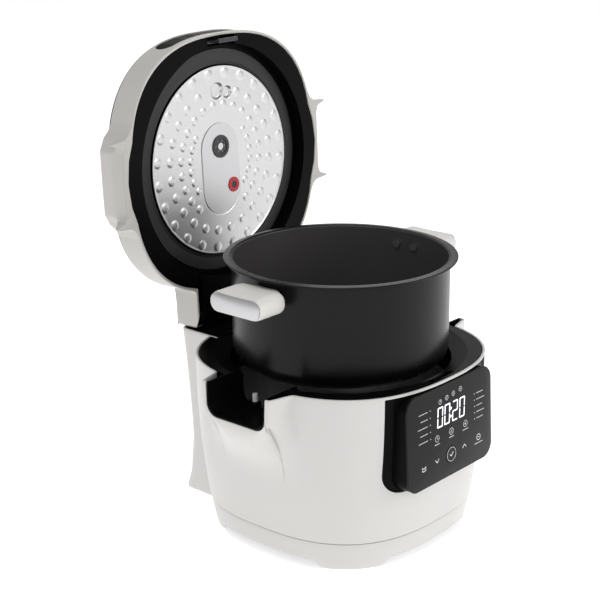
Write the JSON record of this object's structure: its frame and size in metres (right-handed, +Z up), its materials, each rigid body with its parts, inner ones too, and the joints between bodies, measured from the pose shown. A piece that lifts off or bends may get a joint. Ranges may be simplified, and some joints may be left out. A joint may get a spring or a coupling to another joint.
{
  "type": "rice cooker",
  "caption": "Electric multicooker with a hinged domed lid, a lift-out non-stick pot with side handles, and a touch control panel on the front.",
  "frame": {"origin": "on the floor under the base, at the middle of the open cooker's footprint; the pot's axis is 34.8 mm in front of it", "axes": "+Z up, -Y is the front with the control panel, +X is to the right seen from the front"},
  "size_m": [0.343, 0.3757, 0.5298],
  "materials": {
    "white_plastic": "satin",
    "black_plastic": "gloss",
    "grey_plastic": "matte",
    "rubber": "matte",
    "silicone": "satin",
    "red_silicone": "satin",
    "satin_steel": "satin",
    "spring_steel": "satin",
    "aluminium": "cast",
    "pot_coating": "semi-gloss non-stick coating on aluminium",
    "handle_plastic": "satin",
    "panel_glass": "dark printed glass",
    "board": "solder mask",
    "ceramic": "matte",
    "dark_plastic": "matte"
  },
  "bodies": {
    "base": {"outer_shell": "white_plastic", "base_skirt": "white_plastic", "base_pan": "grey_plastic", "foot_pads": "rubber", "rear_housing": "white_plastic", "deck": "black_plastic", "latch_plate": "black_plastic", "deck_lining": "black_plastic", "latch_striker": "satin_steel", "well_liner": "satin_steel", "liner_ring": "satin_steel", "heater_plate": "aluminium", "heating_element": "satin_steel", "thermal_fuse": "ceramic", "sensor_bracket": "satin_steel", "sensor_spring": "spring_steel", "panel_housing": "black_plastic", "panel_glass": "panel_glass", "key_switch": "dark_plastic", "display_module": "dark_plastic", "control_board": "board", "power_board": "board", "power_components": "dark_plastic", "power_inlet": "dark_plastic", "base_screws": "spring_steel", "pin_switch": "dark_plastic", "pin_spring": "spring_steel", "hinge_bracket": "satin_steel", "hinge_shaft": "satin_steel", "hinge_clips": "spring_steel", "hinge_springs": "spring_steel", "hinge_cover": "black_plastic"},
    "lid": {"lid_shell": "white_plastic", "lid_cover": "black_plastic", "lid_frame": "black_plastic", "lid_gasket": "silicone", "inner_plate": "satin_steel", "valve_panel": "satin_steel", "valve_ring": "dark_plastic", "float_seal": "red_silicone", "hinge_arms": "satin_steel", "lid_screws": "spring_steel", "front_trim": "black_plastic", "steam_duct": "dark_plastic", "button_spring": "spring_steel"},
    "pot": {"cooking_pot": "pot_coating", "pot_handle_left": "handle_plastic", "pot_handle_right": "handle_plastic", "handle_cap_left": "satin_steel", "handle_cap_right": "satin_steel", "handle_rivets": "satin_steel"},
    "release": {"release_button": "black_plastic"},
    "latch": {"latch_hook": "dark_plastic"},
    "float": {"float_valve": "dark_plastic"},
    "plunger": {"vent_plunger": "satin_steel"},
    "cap": {"steam_cap": "dark_plastic"},
    "key": {"ok_button": "panel_glass"},
    "pin": {"handle_pin": "white_plastic"},
    "sensor": {"thermal_sensor": "aluminium"},
    "cup": {"condensate_cup": "dark_plastic"}
  },
  "joints": [
    {"name": "lid_hinge", "type": "hinge", "parent": "base", "child": "lid", "pos_m": [0, 0.13679, 0.2136], "axis": [1, 0, 0], "range_deg": [0, 92.5], "stiffness_Nm_per_rad": 1.6, "springref_deg": -57.3},
    {"name": "pot_lift", "type": "slide", "parent": "base", "child": "pot", "axis": [0, 0, 1], "range_m": [-0.103, 0]},
    {"name": "release_press", "type": "slide", "parent": "lid", "child": "release", "axis": [0, -0.0436, -0.999], "range_m": [0, 0.004], "stiffness_N_per_m": 900, "deforming": ["button_spring"]},
    {"name": "latch_pull", "type": "slide", "parent": "lid", "child": "latch", "axis": [0, -0.0436, -0.999], "range_m": [0, 0.004]},
    {"name": "float_rise", "type": "slide", "parent": "lid", "child": "float", "axis": [0, 0.999, -0.0436], "range_m": [0, 0.004]},
    {"name": "vent_lift", "type": "slide", "parent": "lid", "child": "plunger", "axis": [0, 0.999, -0.0436], "range_m": [0, 0.003]},
    {"name": "steam_cap_pull", "type": "slide", "parent": "lid", "child": "cap", "axis": [0, 0.999, -0.0436], "range_m": [0, 0.03]},
    {"name": "ok_press", "type": "slide", "parent": "base", "child": "key", "axis": [0, 0.999, -0.0454], "range_m": [0, 0.001], "stiffness_N_per_m": 1500},
    {"name": "pin_press", "type": "slide", "parent": "base", "child": "pin", "axis": [0, 0, -1], "range_m": [0, 0.004], "stiffness_N_per_m": 400, "deforming": ["pin_spring"]},
    {"name": "sensor_press", "type": "slide", "parent": "base", "child": "sensor", "axis": [0, 0, -1], "range_m": [0, 0.003], "stiffness_N_per_m": 900, "deforming": ["sensor_spring"]},
    {"name": "cup_pull", "type": "slide", "parent": "base", "child": "cup", "axis": [0, 1, 0], "range_m": [0, 0.045]}
  ],
  "couplings": [
    {"joint": "pot_lift", "follows": "lid_hinge", "m_per_rad": -0.063799},
    {"joint": "latch_pull", "follows": "release_press", "ratio": 1}
  ]
}
